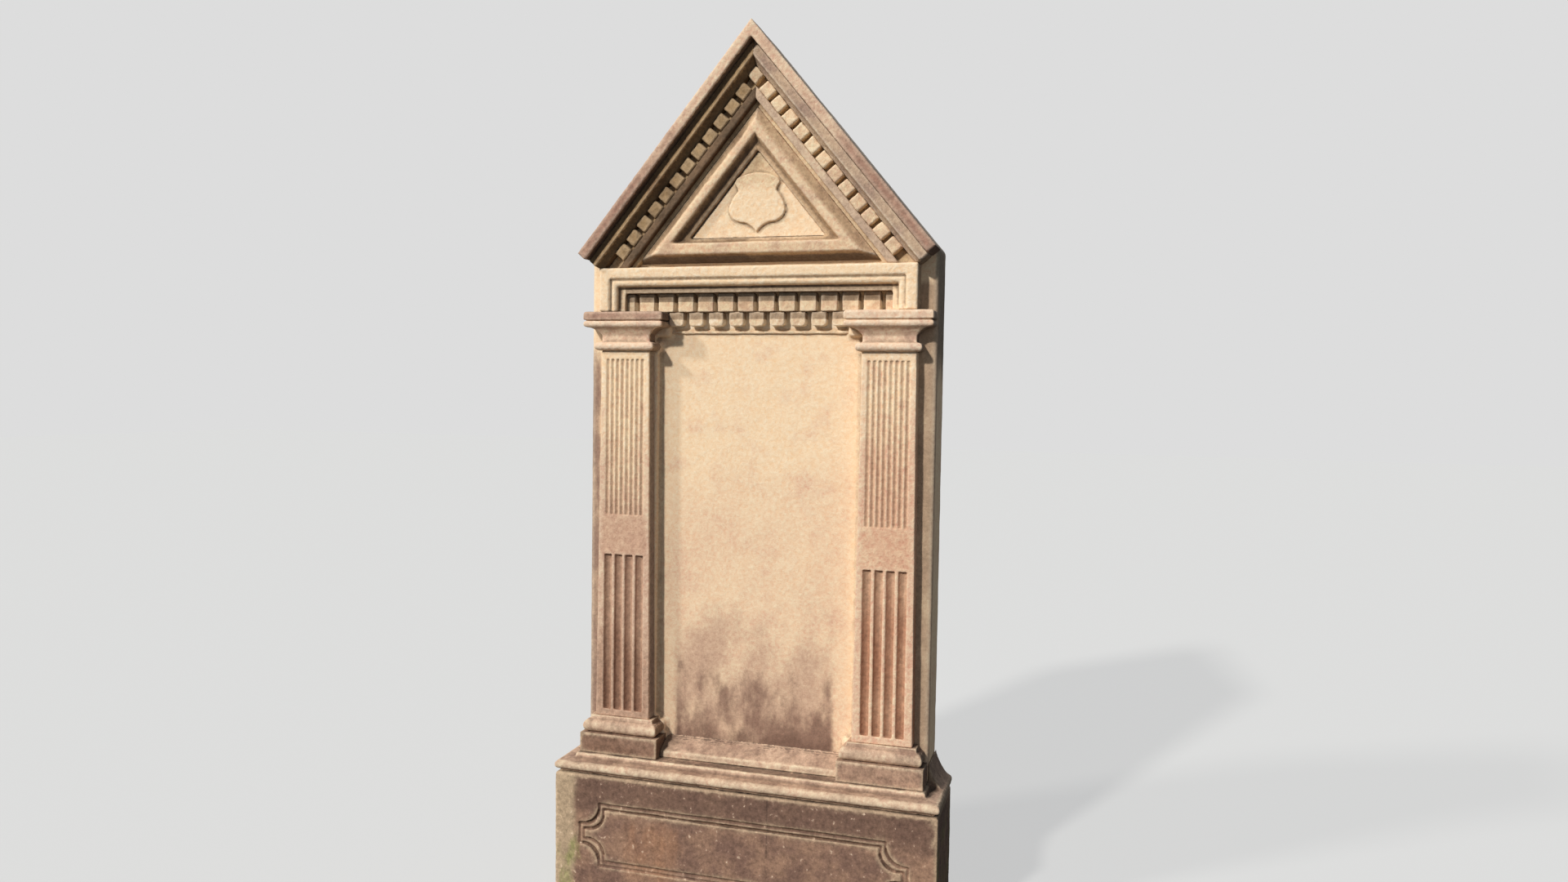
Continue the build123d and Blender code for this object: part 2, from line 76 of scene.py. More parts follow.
Tree = bpy.types.NodeTree
Socket = bpy.types.NodeSocket
Span = tuple[float, float]
Triple = tuple[float, float, float]
Colour = tuple[float, float, float, float]
Input = Union[Socket, float, str, Triple, Colour]


class Slot(Enum):
    """Material slots of the record, one for each block of the stone."""

    BASE = "base_sandstone"
    TABLET = "tablet_sandstone"
    PEDIMENT = "pediment_sandstone"


class Side(Enum):
    """The two sides of the stone, as its front is seen."""

    LEFT = "left"
    RIGHT = "right"


def linear(hex_colour: str) -> Colour:
    """Turns an sRGB hex value into a linear colour for a shader socket.

    Args:
        hex_colour: Colour such as "#efd1ad".

    Returns:
        Linear red, green, blue and an alpha of 1.
    """
    channels = [int(hex_colour[start : start + 2], 16) / 255 for start in (1, 3, 5)]
    curve = [c / 12.92 if c <= 0.04045 else ((c + 0.055) / 1.055) ** 2.4 for c in channels]
    return (*curve, 1.0)


def add(
    tree: Tree,
    kind: str,
    settings: dict[str, object],
    inputs: dict[Union[int, str], Input],
    output: Union[int, str] = 0,
) -> Socket:
    """Adds one shader node with its settings and links.

    Args:
        tree: Node tree of the material or world.
        kind: Node type without its ShaderNode prefix.
        settings: Values of the node's own properties.
        inputs: A socket to link, or a constant, for each input.
        output: Name or number of the output that is wanted.

    Returns:
        The wanted output socket of the new node.
    """
    node = tree.nodes.new("ShaderNode" + kind)
    for name, value in settings.items():
        setattr(node, name, value)
    for socket, value in inputs.items():
        if isinstance(value, Socket):
            tree.links.new(value, node.inputs[socket])
        else:
            node.inputs[socket].default_value = value
    return node.outputs[output] if node.outputs else None


@dataclass(frozen=True)
class StainOrPaintedLight:
    """A ragged patch of another colour, laid in a box of the stone, for stains and for painted
    light and shade.

    Lengths are millimetres in the stone's own frame. The patch thins out over
    fade beyond its box, blotch is the size of its lobes, and ragged is how far
    they reach out and fall short. Cover is how much of the box the lobes fill,
    and soft is how gently each of them ends.
    """

    colour: str
    low: Triple
    high: Triple
    fade: Triple
    blotch: Triple
    cover: float
    strength: float = 1.0
    soft: float = 0.12
    ragged: float = 1.0

    def level(self, tree: Tree, spot: Socket) -> Socket:
        """Builds how thick the patch lies, from its cover in the box to none past its fade.

        Args:
            tree: Node tree of the material.
            spot: Object coordinates, in metres.

        Returns:
            The level, from 0 to the cover.
        """
        low, high = Vector(self.low) * MM, Vector(self.high) * MM
        middle, half = tuple((low + high) / 2), tuple((high - low) / 2)
        fade = tuple(Vector(self.fade) * MM)
        offset = add(tree, "VectorMath", {"operation": "SUBTRACT"}, {0: spot, 1: middle})
        away = add(tree, "VectorMath", {"operation": "ABSOLUTE"}, {0: offset})
        past = add(tree, "VectorMath", {"operation": "SUBTRACT"}, {0: away, 1: half})
        outside = add(tree, "VectorMath", {"operation": "MAXIMUM"}, {0: past, 1: (0, 0, 0)})
        share = add(tree, "VectorMath", {"operation": "DIVIDE"}, {0: outside, 1: fade})
        reach = add(tree, "VectorMath", {"operation": "LENGTH"}, {0: share}, "Value")
        thinning = {"Value": reach, "To Min": self.cover, "To Max": 0.0}
        return add(tree, "MapRange", SMOOTH, thinning)

    def lobes(self, tree: Tree, spot: Socket) -> Socket:
        """Builds the lobes, which keep a middle of a half however ragged they are.

        Args:
            tree: Node tree of the material.
            spot: Object coordinates, in metres.

        Returns:
            The lobes' pattern.
        """
        rate = tuple(1 / (size * MM) for size in self.blotch)
        scaled = add(tree, "VectorMath", {"operation": "MULTIPLY"}, {0: spot, 1: rate})
        pattern = {"Vector": scaled, "Scale": 1.0, "Detail": 4.0, "Roughness": 0.6}
        blotches = add(tree, "TexNoise", {}, pattern)
        shift = (1 - self.ragged) / 2
        stretch = {0: blotches, 1: self.ragged, 2: shift}
        return add(tree, "Math", {"operation": "MULTIPLY_ADD"}, stretch)

    def lay(self, tree: Tree, spot: Socket, under: Socket) -> Socket:
        """Lays the patch over a colour.

        Args:
            tree: Node tree of the material.
            spot: Object coordinates, in metres.
            under: Colour below the patch.

        Returns:
            The colour with the patch laid.
        """
        level = self.level(tree, spot)
        total = add(tree, "Math", {"operation": "ADD"}, {0: level, 1: self.lobes(tree, spot)})
        # A lobe that strays to the end of the fade is faint there
        limit = {"Value": level, "From Max": self.cover / 4, "To Max": self.strength}
        most = add(tree, "MapRange", SMOOTH, limit)
        edge = {"From Min": 1 - self.soft, "From Max": 1 + self.soft}
        mask = add(tree, "MapRange", SMOOTH, {"Value": total, "To Max": most, **edge})
        layers = {SHARE: mask, UNDER: under, OVER: linear(self.colour)}
        return add(tree, "Mix", MIX, layers, MIXED)


@dataclass(frozen=True)
class Sandstone:
    """Quartz sandstone, rubbed smooth when it was cut and since roughened by rain.

    It gives the eye a matt, sandy surface: warm cream where it is clean, pink
    where iron has come out, dark where damp sits in the hollows, and painted shade where the light
    doesn't reach.
    """

    name: str
    fresh: str = "#efd0a9"
    blush: str = "#cfa287"
    blush_share: float = 0.4
    grime: str = "#5e4836"
    grime_share: float = 0.5
    bleach: str = "#f6e2c4"
    bleach_share: float = 0.18
    # Painted shade, laid where the light doesn't reach
    painted_shade: str = "#4a3d33"
    painted_shade_share: float = 0.8
    lichen: str = "#7f705d"
    lichen_share: float = 0.0
    stains_and_painted_light: tuple[StainOrPaintedLight, ...] = ()
    # Sand grains are under 1 mm, and clump in patches of 9 mm and less that show
    grain_mm: float = 9.0
    mottle_mm: float = 70.0
    pit_mm: float = 9.0
    shade_edge_mm: float = 30.0
    grain_height_mm: float = 2.0
    pit_height_mm: float = 0.8
    relief_share: float = 0.6
    contrast: float = 0.38
    roughness: float = 0.93
    # Dull sand gives back less of a gleam than plastic's 0.5
    gleam: float = 0.2
    # How far the mottle and the grain run from dark to pale
    blush_width: float = 0.3
    grain_span: Span = (0.22, 0.78)
    # Where grime comes in as a hollow deepens, and bleach as an arris flattens
    grime_span: Span = (0.52, 0.9)
    bleach_span: Span = (0.1, 0.46)
    # Where the painted shade comes in as the shaded share grows, and how far its ragged edge shifts
    # that
    painted_shade_span: Span = (0.12, 0.7)
    shade_edge_shift: float = 0.2
    # Where lichen comes in as a face turns up or back, and its patches in the mottle
    lichen_span: Span = (0.2, 0.5)
    patch_span: Span = (0.3, 0.65)
    patch_thin_share: float = 0.75

    def material(self) -> bpy.types.Material:
        """Makes the finish as a material, or returns it if it is there already."""
        made = bpy.data.materials.get(self.name)
        if made is not None:
            return made
        made = bpy.data.materials.new(self.name)
        made.use_nodes = True
        tree = made.node_tree
        tree.nodes.clear()
        spot = add(tree, "TexCoord", {}, {}, "Object")
        scale = 1 / (self.grain_mm * MM)
        pattern = {"Vector": spot, "Scale": scale, "Detail": 3.0, "Roughness": 0.8}
        grain = add(tree, "TexNoise", {}, pattern)
        sockets = {
            "Base Color": self.colour(tree, spot, grain),
            "Roughness": self.roughness,
            "Specular IOR Level": self.gleam,
            "Normal": self.relief(tree, spot, grain),
        }
        surface = add(tree, "BsdfPrincipled", {}, sockets)
        add(tree, "OutputMaterial", {}, {"Surface": surface})
        return made

    def colour(self, tree: Tree, spot: Socket, grain: Socket) -> Socket:
        """Builds the stone's colour from clean stone up to its stains, painted light and shade, and
        its sand grain.

        Args:
            tree: Node tree of the material.
            spot: Object coordinates, in metres.
            grain: Sand grain pattern.

        Returns:
            The finished colour.
        """
        scale = 1 / (self.mottle_mm * MM)
        pattern = {"Vector": spot, "Scale": scale, "Detail": 5.0, "Roughness": 0.62}
        mottle = add(tree, "TexNoise", {}, pattern)
        colour = self.flushed(tree, mottle)
        for laid_mark in self.stains_and_painted_light:
            colour = laid_mark.lay(tree, spot, colour)
        colour = self.grimed(tree, colour)
        colour = self.with_painted_shade(tree, spot, colour)
        colour = self.lichened(tree, mottle, colour)
        dark, pale = self.grain_span
        speck = add(tree, "MapRange", {}, {"Value": grain, "From Min": dark, "From Max": pale})
        overlay = {"blend_type": "OVERLAY", **MIX}
        return add(tree, "Mix", overlay, {SHARE: self.contrast, UNDER: colour, OVER: speck}, MIXED)

    def flushed(self, tree: Tree, mottle: Socket) -> Socket:
        """Builds clean stone, flushed with iron in soft patches.

        Args:
            tree: Node tree of the material.
            mottle: Pattern of the patches.

        Returns:
            The clean colour.
        """
        middle, half = 1 - self.blush_share, self.blush_width / 2
        flush = {"Value": mottle, "From Min": middle - half, "From Max": middle + half}
        share = add(tree, "MapRange", SMOOTH, flush)
        layers = {SHARE: share, UNDER: linear(self.fresh), OVER: linear(self.blush)}
        return add(tree, "Mix", MIX, layers, MIXED)

    def grimed(self, tree: Tree, under: Socket) -> Socket:
        """Lays grime in the hollows and bleaches the arrises.

        Args:
            tree: Node tree of the material.
            under: Colour below them.

        Returns:
            The colour with both.
        """
        hollow = add(tree, "Attribute", {"attribute_name": HOLLOW}, {}, "Fac")
        start, full = self.grime_span
        deep = {"Value": hollow, "From Min": start, "From Max": full, "To Max": self.grime_share}
        sheltered = add(tree, "MapRange", SMOOTH, deep)
        layers = {SHARE: sheltered, UNDER: under, OVER: linear(self.grime)}
        dark = add(tree, "Mix", MIX, layers, MIXED)
        full, end = self.bleach_span
        fading = {"To Min": self.bleach_share, "To Max": 0.0}
        proud = {"Value": hollow, "From Min": full, "From Max": end, **fading}
        exposed = add(tree, "MapRange", SMOOTH, proud)
        layers = {SHARE: exposed, UNDER: dark, OVER: linear(self.bleach)}
        return add(tree, "Mix", MIX, layers, MIXED)

    def with_painted_shade(self, tree: Tree, spot: Socket, under: Socket) -> Socket:
        """Lays ragged painted shade where the light doesn't reach.

        Args:
            tree: Node tree of the material.
            spot: Object coordinates, in metres.
            under: Colour below the painted shade.

        Returns:
            The colour with painted shade.
        """
        shaded_share = add(tree, "Attribute", {"attribute_name": SHADED_SHARE}, {}, "Fac")
        scale = 1 / (self.shade_edge_mm * MM)
        pattern = {"Vector": spot, "Scale": scale, "Detail": 4.0, "Roughness": 0.65}
        shade_edge = add(tree, "TexNoise", {}, pattern)
        shift = {"Value": shade_edge, "To Min": -self.shade_edge_shift, "To Max": self.shade_edge_shift}
        ragged = add(tree, "MapRange", {}, shift)
        kept = add(tree, "Math", {"operation": "ADD"}, {0: shaded_share, 1: ragged})
        start, full = self.painted_shade_span
        thick = {"Value": kept, "From Min": start, "From Max": full, "To Max": self.painted_shade_share}
        shade_level = add(tree, "MapRange", SMOOTH, thick)
        layers = {SHARE: shade_level, UNDER: under, OVER: linear(self.painted_shade)}
        return add(tree, "Mix", MIX, layers, MIXED)

    def lichened(self, tree: Tree, mottle: Socket, under: Socket) -> Socket:
        """Lays lichen over all else on what faces the sky, and on the back.

        Args:
            tree: Node tree of the material.
            mottle: Pattern of its thicker patches.
            under: Colour below the lichen.

        Returns:
            The colour with lichen.
        """
        facing = add(tree, "NewGeometry", {}, {}, "Normal")
        upward = {0: facing, 1: UP_AND_BACK}
        turned = add(tree, "VectorMath", {"operation": "DOT_PRODUCT"}, upward, "Value")
        thin, thick = self.patch_span
        thinnest = self.lichen_share * self.patch_thin_share
        growth = {"To Min": thinnest, "To Max": self.lichen_share}
        spread = {"Value": mottle, "From Min": thin, "From Max": thick, **growth}
        patches = add(tree, "MapRange", SMOOTH, spread)
        start, full = self.lichen_span
        settling = {"Value": turned, "From Min": start, "From Max": full, "To Max": patches}
        settled = add(tree, "MapRange", SMOOTH, settling)
        layers = {SHARE: settled, UNDER: under, OVER: linear(self.lichen)}
        return add(tree, "Mix", MIX, layers, MIXED)

    def relief(self, tree: Tree, spot: Socket, grain: Socket) -> Socket:
        """Builds the sandy relief that is too fine for the mesh.

        Args:
            tree: Node tree of the material.
            spot: Object coordinates, in metres.
            grain: Sand grain pattern.

        Returns:
            The surface normal.
        """
        scale = 1 / (self.pit_mm * MM)
        pits = add(tree, "TexNoise", {}, {"Vector": spot, "Scale": scale, "Detail": 2.0})
        pitted = {"Height": pits, "Distance": self.pit_height_mm * MM}
        coarse = add(tree, "Bump", {}, {"Strength": self.relief_share, **pitted})
        sandy = {"Height": grain, "Distance": self.grain_height_mm * MM, "Normal": coarse}
        return add(tree, "Bump", {}, {"Strength": self.relief_share, **sandy})


PANEL_STAINS_LIGHT_AND_SHADE = (
    # Damp drawn up from the sill, pale and high at first, then in dark tongues
    StainOrPaintedLight(
        "#d9b393", low=(-190, -20, 320), high=(190, 40, 780), fade=(40, 40, 260),
        blotch=(120, 60, 160), cover=0.6, strength=0.6, soft=0.5,
    ),
    StainOrPaintedLight(
        "#b48f78", low=(-165, -20, 320), high=(160, 40, 450), fade=(40, 40, 280),
        blotch=(90, 60, 120), cover=0.74, strength=0.7, soft=0.45, ragged=2.0,
    ),
    StainOrPaintedLight(
        "#7b5c4d", low=(-170, -20, 320), high=(165, 40, 345), fade=(20, 40, 210),
        blotch=(66, 60, 130), cover=0.74, strength=0.85, soft=0.36, ragged=2.6,
    ),
    StainOrPaintedLight(
        "#644b3e", low=(-170, -20, 320), high=(170, 40, 335), fade=(20, 40, 45),
        blotch=(60, 60, 60), cover=0.66, strength=0.55, soft=0.3, ragged=1.6,
    ),
    # Painted light behind the dentils, lifting the shade of their slots
    StainOrPaintedLight(
        "#fbe6c6", low=(-295, 4, 1222), high=(295, 40, 1296), fade=(6, 4, 4),
        blotch=(60, 60, 60), cover=0.9, strength=0.8, soft=0.3,
    ),
    # Dark left-hand margin, and the dull side round the corner from it
    StainOrPaintedLight(
        "#86685a", low=(-390, -20, 330), high=(-364, 4, 1140), fade=(14, 12, 80),
        blotch=(30, 30, 70), cover=0.72, strength=0.9, soft=0.3,
    ),
    StainOrPaintedLight(
        "#9c8671", low=(-400, 6, 300), high=(-386, 110, 1420), fade=(4, 14, 120),
        blotch=(80, 60, 160), cover=0.66, strength=0.7, soft=0.4,
    ),
    # Painted shade on the right-hand side, under the eave
    StainOrPaintedLight(
        "#4d4238", low=(380, -10, 1200), high=(400, 110, 1500), fade=(12, 20, 160),
        blotch=(60, 60, 120), cover=0.75, strength=0.8, soft=0.3,
    ),
    # Right-hand margin, brown beside the pilaster
    StainOrPaintedLight(
        "#a5866c", low=(330, -10, 330), high=(392, 4, 1300), fade=(8, 12, 30),
        blotch=(30, 30, 90), cover=0.72, strength=0.75, soft=0.3,
    ),
)
RUBBED = Sandstone(
    "sandstone_rubbed_smooth",
    blush="#e0ba99",
    blush_share=0.36,
    painted_shade_share=0.1,
    lichen_share=0.8,
    stains_and_painted_light=PANEL_STAINS_LIGHT_AND_SHADE,
    grain_mm=7.0,
    grain_height_mm=1.6,
    contrast=0.3,
)
FRAMED = Sandstone(
    "sandstone_carved_frame",
    blush="#dbb493",
    blush_share=0.34,
    grime_share=0.6,
    painted_shade_share=0.6,
    stains_and_painted_light=(
        # Painted shadow of the bead, on the member under it
        StainOrPaintedLight(
            "#ae9478", low=(-290, -31, 1291), high=(290, 14, 1306), fade=(4, 3, 2),
            blotch=(60, 60, 60), cover=0.9, strength=0.9, soft=0.2,
        ),
    ),
)
CAPITAL = Sandstone(
    "sandstone_carved_capital", fresh="#e4c4a4", blush="#c19e86", blush_share=0.4, painted_shade_share=0.6
)
TEETH_LIGHT_AND_SHADE = (
    # Painted light in the slots of both level rows, lifting their shade
    StainOrPaintedLight(
        "#fdebcf", low=(-300, -8, 1220), high=(300, 14, 1294), fade=(4, 3, 4),
        blotch=(40, 40, 40), cover=0.9, strength=0.9, soft=0.3,
    ),
    # Painted shadow on the tops, cast by the frame and by the upper row
    StainOrPaintedLight(
        "#8a735b", low=(-300, -30, 1277), high=(300, 14, 1300), fade=(20, 20, 5),
        blotch=(26, 26, 10), cover=0.9, strength=0.95, soft=0.3,
    ),
    StainOrPaintedLight(
        "#957a60", low=(-300, -13, 1241), high=(300, 14, 1252), fade=(20, 2, 7),
        blotch=(26, 26, 10), cover=0.9, strength=0.85, soft=0.3,
    ),
)
# Painted light in the slots of the sloping rows, lifting their shade
RAKING_SLOT_LIGHT = (
    StainOrPaintedLight(
        "#d9bb90", low=(-330, -34, 1340), high=(330, -10, 1770), fade=(4, 3, 4),
        blotch=(40, 40, 40), cover=0.9, strength=0.8, soft=0.3,
    ),
)
# Rounded by rain all over, with little painted shade in the slots
TOOTHED = Sandstone(
    "sandstone_carved_in_teeth",
    fresh="#e2c39c",
    blush="#c7a381",
    blush_share=0.42,
    grime_share=0.2,
    painted_shade="#8a6e55",
    painted_shade_share=0.15,
    stains_and_painted_light=(*TEETH_LIGHT_AND_SHADE, *RAKING_SLOT_LIGHT),
)
# The left-hand slope's dentils, painted darker as in shade
TOOTHED_IN_SHADE = Sandstone(
    "sandstone_carved_in_teeth_in_shade",
    fresh="#b8976e",
    blush="#94744f",
    blush_share=0.45,
    grime_share=0.3,
    bleach_share=0.1,
    painted_shade="#74593e",
    painted_shade_share=0.25,
    stains_and_painted_light=RAKING_SLOT_LIGHT,
)
# Wall behind the sloping rows, out of the rain
SHELTERED = Sandstone(
    "sandstone_carved_sheltered",
    fresh="#d6b88f",
    blush="#b3926d",
    blush_share=0.45,
    grime_share=0.3,
    painted_shade="#8a7050",
    painted_shade_share=0.5,
)
FIELD = Sandstone(
    "sandstone_carved_field",
    blush="#dbb493",
    blush_share=0.34,
    grime_share=0.6,
    painted_shade_share=0.8,
    stains_and_painted_light=(
        # Brown in the upper corner, which the frame shades
        StainOrPaintedLight(
            "#b39469", low=(-120, -40, 1560), high=(50, 14, 1720), fade=(50, 30, 90),
            blotch=(50, 50, 60), cover=0.72, strength=0.65, soft=0.4,
        ),
    ),
)
# The left-hand slope, painted brown and dark as in shade
SLOPE_IN_PAINTED_SHADE = Sandstone(
    "sandstone_carved_in_painted_shade",
    fresh="#b5946b",
    blush="#8a6a4c",
    blush_share=0.45,
    grime_share=0.5,
    bleach_share=0.1,
    painted_shade="#56432f",
    painted_shade_share=0.75,
)
# Its lowest member is the darkest, in deeper painted shade
SLOPE_IN_DEEPEST_PAINTED_SHADE = Sandstone(
    "sandstone_carved_black",
    fresh="#74583f",
    blush="#59432f",
    blush_share=0.5,
    bleach_share=0.05,
    painted_shade="#4a382a",
    painted_shade_share=0.5,
)
# The right-hand slope, with pink and grey streaks
STREAKED = Sandstone(
    "sandstone_carved_streaked",
    fresh="#ccad8d",
    blush="#a6866f",
    blush_share=0.48,
    painted_shade="#67553f",
    painted_shade_share=0.6,
)
# The member over its dentils, rinsed pale
SCOURED = Sandstone(
    "sandstone_carved_scoured",
    fresh="#c4a98c",
    blush="#a68b78",
    blush_share=0.42,
    grime_share=0.6,
    bleach="#dccbb2",
    bleach_share=0.25,
    painted_shade="#5a4838",
    painted_shade_share=0.6,
)
FRAME_STAINS_AND_SHADE = (
    # Brown on the slopes of the frame, with painted shade over its left-hand half and under its
    # foot
    StainOrPaintedLight(
        "#9d7d5a", low=(-320, -30, 1340), high=(320, 10, 1720), fade=(20, 9, 20),
        blotch=(60, 60, 60), cover=0.72, strength=0.55, soft=0.35,
    ),
    StainOrPaintedLight(
        "#6a523b", low=(-320, -32, 1340), high=(-20, 10, 1720), fade=(12, 7, 20),
        blotch=(60, 60, 60), cover=0.7, strength=0.7, soft=0.35,
    ),
    StainOrPaintedLight(
        "#6b625b", low=(-320, -50, 1340), high=(320, 10, 1365), fade=(20, 10, 8),
        blotch=(40, 40, 12), cover=0.85, strength=0.8, soft=0.3,
    ),
)
WASHED = Sandstone(
    "sandstone_carved_washed",
    fresh="#e0be97",
    blush="#c29e80",
    blush_share=0.42,
    painted_shade_share=0.5,
    stains_and_painted_light=FRAME_STAINS_AND_SHADE,
)
FASCIA_STAINS = (
    # Iron and soot low on the slopes, above the capitals
    StainOrPaintedLight(
        "#946b5a", low=(-460, -90, 1330), high=(460, 20, 1470), fade=(40, 40, 320),
        blotch=(60, 60, 60), cover=0.75, strength=0.9, soft=0.35,
    ),
)
FASCIA = Sandstone(
    "sandstone_weathered_fascia",
    fresh="#dab898",
    blush="#bf987e",
    blush_share=0.4,
    lichen_share=0.85,
    stains_and_painted_light=FASCIA_STAINS,
)
# Damp in the flutes, darker on the left than on the right
FLUTED = {
    Side.LEFT: Sandstone(
        "sandstone_fluted_in_shade",
        blush="#d9b08f",
        blush_share=0.36,
        grime_share=0.35,
        painted_shade_share=0.2,
        stains_and_painted_light=(
            StainOrPaintedLight(
                "#bd937a", low=(-400, -60, 360), high=(400, 20, 760), fade=(40, 40, 420),
                blotch=(60, 60, 160), cover=0.8, strength=0.85, soft=0.4,
            ),
            StainOrPaintedLight(
                "#93664f", low=(-400, -60, 370), high=(400, 20, 450), fade=(40, 40, 240),
                blotch=(24, 24, 160), cover=0.7, strength=0.7, soft=0.3,
            ),
            # Painted shade down the side that the lamps never reach
            StainOrPaintedLight(
                "#8c8077", low=(-234, -27, 360), high=(-200, 20, 1250), fade=(3, 4, 20),
                blotch=(40, 40, 90), cover=0.9, strength=0.85, soft=0.3,
            ),
        ),
    ),
    Side.RIGHT: Sandstone(
        "sandstone_fluted_in_sun",
        blush="#dcb494",
        blush_share=0.36,
        grime_share=0.35,
        painted_shade_share=0.18,
        stains_and_painted_light=(
            StainOrPaintedLight(
                "#cf9f80", low=(-400, -60, 360), high=(400, 20, 820), fade=(40, 40, 460),
                blotch=(60, 60, 160), cover=0.78, strength=0.8, soft=0.45,
            ),
            StainOrPaintedLight(
                "#ad7051", low=(-400, -27, 370), high=(400, 20, 560), fade=(40, 6, 300),
                blotch=(30, 30, 120), cover=0.66, strength=0.75, soft=0.35,
            ),
        ),
    ),
}
DAMP_STAINS = (
    # Dark band along the top of the die
    StainOrPaintedLight(
        "#6d5345", low=(-360, -110, 190), high=(430, -80, 250), fade=(40, 30, 30),
        blotch=(90, 60, 30), cover=0.72, strength=0.8, soft=0.3,
    ),
    # Dry end on the left, with a rusty patch beside it
    StainOrPaintedLight(
        "#b59c7d", low=(-430, -110, 0), high=(-388, 110, 300), fade=(46, 60, 60),
        blotch=(60, 60, 90), cover=0.75, strength=0.9, soft=0.25,
    ),
    StainOrPaintedLight(
        "#a8744f", low=(-230, -110, 60), high=(-150, -80, 150), fade=(50, 30, 50),
        blotch=(40, 40, 90), cover=0.5, strength=0.45, soft=0.3,
    ),
    # Specks of lichen
    StainOrPaintedLight(
        "#c9b096", low=(-430, -110, 0), high=(430, -80, 260), fade=(40, 40, 40),
        blotch=(12, 12, 12), cover=0.32, strength=0.8, soft=0.06,
    ),
    # Hairline crack down the front
    StainOrPaintedLight(
        "#4a382f", low=(64, -110, 140), high=(66, -80, 253), fade=(2, 30, 20),
        blotch=(30, 30, 60), cover=0.7, strength=0.45,
    ),
    # Moss at both ends
    StainOrPaintedLight(
        "#82834a", low=(-430, -110, 0), high=(-370, 110, 90), fade=(50, 60, 90),
        blotch=(30, 30, 60), cover=0.5, strength=0.7,
    ),
    StainOrPaintedLight(
        "#8b8b45", low=(416, -110, 0), high=(430, 110, 200), fade=(5, 60, 80),
        blotch=(34, 34, 60), cover=0.46, strength=0.75, soft=0.2,
    ),
)
DAMP = Sandstone(
    "sandstone_damp_base",
    fresh="#98765f",
    blush="#7a5d4e",
    blush_share=0.5,
    grime_share=0.75,
    bleach="#c9ad8c",
    bleach_share=0.55,
    painted_shade_share=0.5,
    lichen_share=0.45,
    stains_and_painted_light=DAMP_STAINS,
    grain_mm=12.0,
    contrast=0.5,
)
# Rain splashes the foot of the stone, most on the left
SPLASHED_STAINS = (
    StainOrPaintedLight(
        "#7a5c49", low=(-430, -110, 256), high=(-220, 20, 340), fade=(90, 40, 20),
        blotch=(70, 60, 60), cover=0.7, strength=0.8, soft=0.3,
    ),
)
PLINTH = Sandstone(
    "sandstone_splashed_plinth",
    fresh="#a98870",
    blush="#836656",
    blush_share=0.5,
    bleach="#e2c8a5",
    bleach_share=0.4,
    painted_shade_share=0.6,
    stains_and_painted_light=SPLASHED_STAINS,
    grain_mm=12.0,
    contrast=0.5,
)
# Mouldings at the foot, which shed the water and stay pale
RINSED = Sandstone(
    "sandstone_rinsed_moulding",
    fresh="#c3a287",
    blush="#997a66",
    blush_share=0.48,
    bleach="#ecd2ae",
    bleach_share=0.5,
    painted_shade_share=0.6,
    grain_mm=12.0,
    contrast=0.45,
)


@dataclass(frozen=True)
class Wear:
    """How far a century of rain has worn a member down. Lengths are millimetres."""

    voxel: float = 2.5
    soften: int = 3
    ripple: float = 1.6
    ripple_size: float = 45.0
    grit: float = 0.8
    grit_size: float = 9.0
    kept_share: float = 0.7


def alone(piece: bpy.types.Object) -> None:
    """Selects one object and nothing else, and makes it active."""
    bpy.ops.object.select_all(action="DESELECT")
    piece.select_set(True)
    bpy.context.view_layer.objects.active = piece


def finish_with(piece: bpy.types.Object, kind: str, settings: dict[str, object]) -> None:
    """Adds a modifier to a piece and applies it.

    Args:
        piece: Object that takes the modifier.
        kind: Type of the modifier.
        settings: Values of its properties.
    """
    modifier = piece.modifiers.new(kind.lower(), kind)
    for name, value in settings.items():
        setattr(modifier, name, value)
    alone(piece)
    bpy.ops.object.modifier_apply(modifier=modifier.name)


def roughness_pattern(size: float) -> bpy.types.Texture:
    """Returns the cloud pattern that wears stone in lumps of a size.

    Args:
        size: Size of the lumps in millimetres.
    """
    name = f"lumps_{size:g}_mm"
    pattern = bpy.data.textures.get(name)
    if pattern is None:
        pattern = bpy.data.textures.new(name, "CLOUDS")
        pattern.noise_scale = size * MM
        pattern.noise_depth = 3
    return pattern


